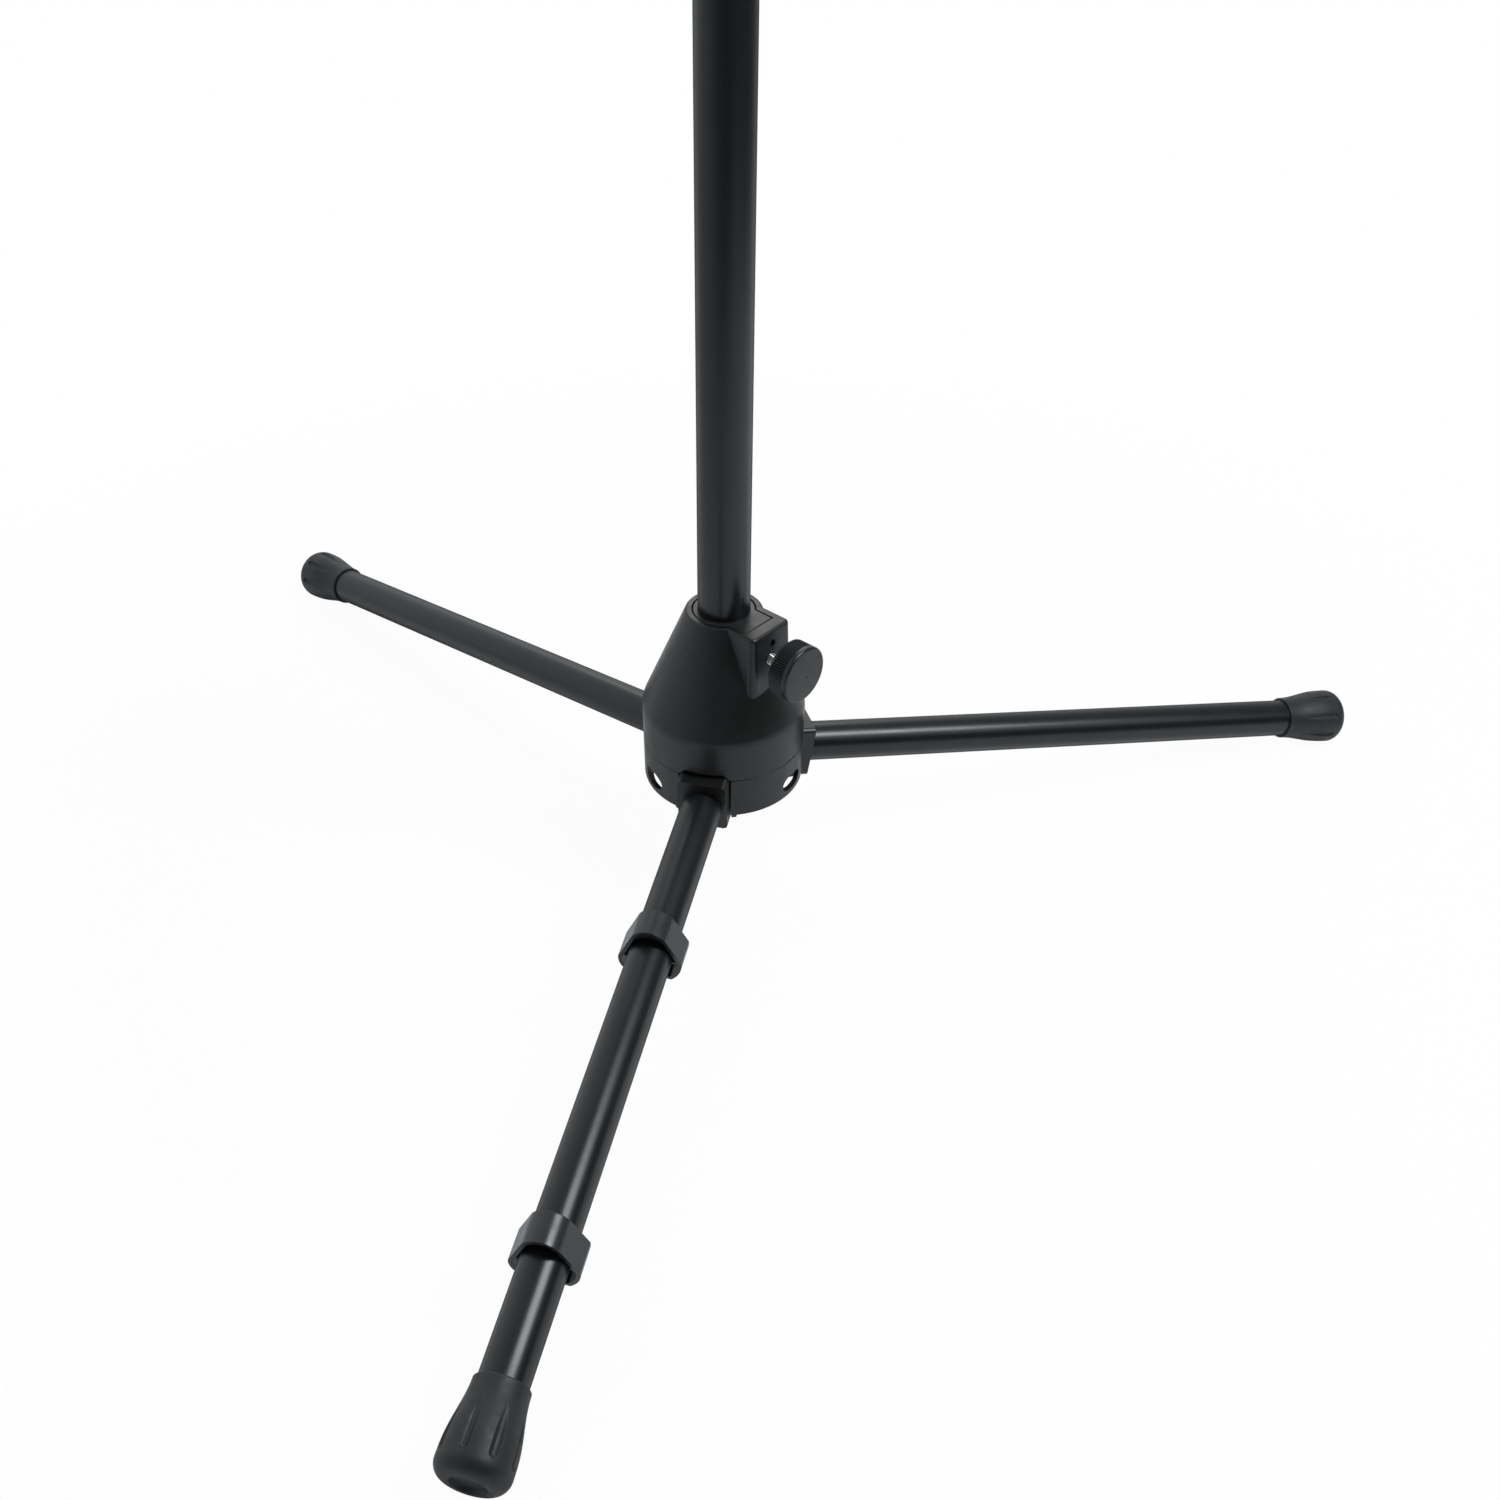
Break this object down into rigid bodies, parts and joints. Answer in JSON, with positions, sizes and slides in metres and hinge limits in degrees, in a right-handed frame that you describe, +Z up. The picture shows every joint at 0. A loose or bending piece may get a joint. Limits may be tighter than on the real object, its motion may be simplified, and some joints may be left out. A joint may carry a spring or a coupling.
{
  "type": "trumpet stand",
  "caption": "Folding tripod trumpet stand with a knob-clamped column, telescoping rod and a tapered peg that goes inside the bell.",
  "frame": {"origin": "on the column's axis at floor level, under the hub", "axes": "+Z up along the column; -Y points along the leg that carries the two clips; +X to the right of it seen from that leg's foot"},
  "size_m": [0.6428, 0.5593, 0.7581],
  "materials": {
    "hub_plastic": "satin moulded",
    "bushing_plastic": "satin moulded",
    "knuckle_plastic": "satin moulded",
    "clip_plastic": "semi-gloss moulded",
    "knob_plastic": "satin moulded",
    "black_tube": "satin powder coat",
    "zinc_steel": "zinc plated",
    "cap_rubber": "matte moulded",
    "peg_plastic": "satin moulded",
    "felt": "pressed felt"
  },
  "bodies": {
    "hub": {"hub_shell": "hub_plastic", "hub_bushing": "bushing_plastic", "hub_clamp_nut": "zinc_steel", "leg_hinge_pins": "zinc_steel"},
    "hub_knob": {"hub_clamp_screw": "zinc_steel", "hub_clamp_knob": "knob_plastic"},
    "column": {"column_tube": "black_tube", "column_end_plug": "bushing_plastic", "collar_body": "hub_plastic", "collar_pad": "bushing_plastic", "collar_nut": "zinc_steel"},
    "upper_knob": {"collar_screw": "zinc_steel", "collar_knob": "knob_plastic"},
    "rod": {"inner_rod": "black_tube", "rod_guide": "bushing_plastic", "peg_socket": "peg_plastic", "peg_cushion": "felt", "bell_peg": "peg_plastic", "peg_screw": "zinc_steel", "peg_tip": "cap_rubber"},
    "leg_front": {"leg_knuckle_front": "knuckle_plastic", "leg_tube_front": "black_tube", "foot_cap_front": "cap_rubber", "leg_clip_inner": "clip_plastic", "leg_clip_outer": "clip_plastic"},
    "leg_right": {"leg_knuckle_right": "knuckle_plastic", "leg_tube_right": "black_tube", "foot_cap_right": "cap_rubber"},
    "leg_left": {"leg_knuckle_left": "knuckle_plastic", "leg_tube_left": "black_tube", "foot_cap_left": "cap_rubber"}
  },
  "joints": [
    {"name": "leg_fold_front", "type": "hinge", "parent": "hub", "child": "leg_front", "pos_m": [0, -0.0266, 0.06142], "axis": [1, 0, 0], "range_deg": [0, 81.57]},
    {"name": "leg_fold_right", "type": "hinge", "parent": "hub", "child": "leg_right", "pos_m": [0.02304, 0.0133, 0.06142], "axis": [-0.5, 0.866, 0], "range_deg": [0, 81.57]},
    {"name": "leg_fold_left", "type": "hinge", "parent": "hub", "child": "leg_left", "pos_m": [-0.02304, 0.0133, 0.06142], "axis": [-0.5, -0.866, 0], "range_deg": [0, 81.57]},
    {"name": "hub_knob_turn", "type": "hinge", "parent": "hub", "child": "hub_knob", "pos_m": [0.02693, -0.01432, 0.13362], "axis": [0.8829, -0.4695, 0], "range_deg": [0, 720]},
    {"name": "column_slide", "type": "slide", "parent": "hub", "child": "column", "axis": [0, 0, -1], "range_m": [-0.0217, 0.2997]},
    {"name": "collar_knob_turn", "type": "hinge", "parent": "column", "child": "upper_knob", "pos_m": [0.02384, -0.01268, 0.48572], "axis": [0.8829, -0.4695, 0], "range_deg": [0, 720]},
    {"name": "rod_slide", "type": "slide", "parent": "column", "child": "rod", "axis": [0, 0, -1], "range_m": [-0.08, 0.1097]}
  ]
}
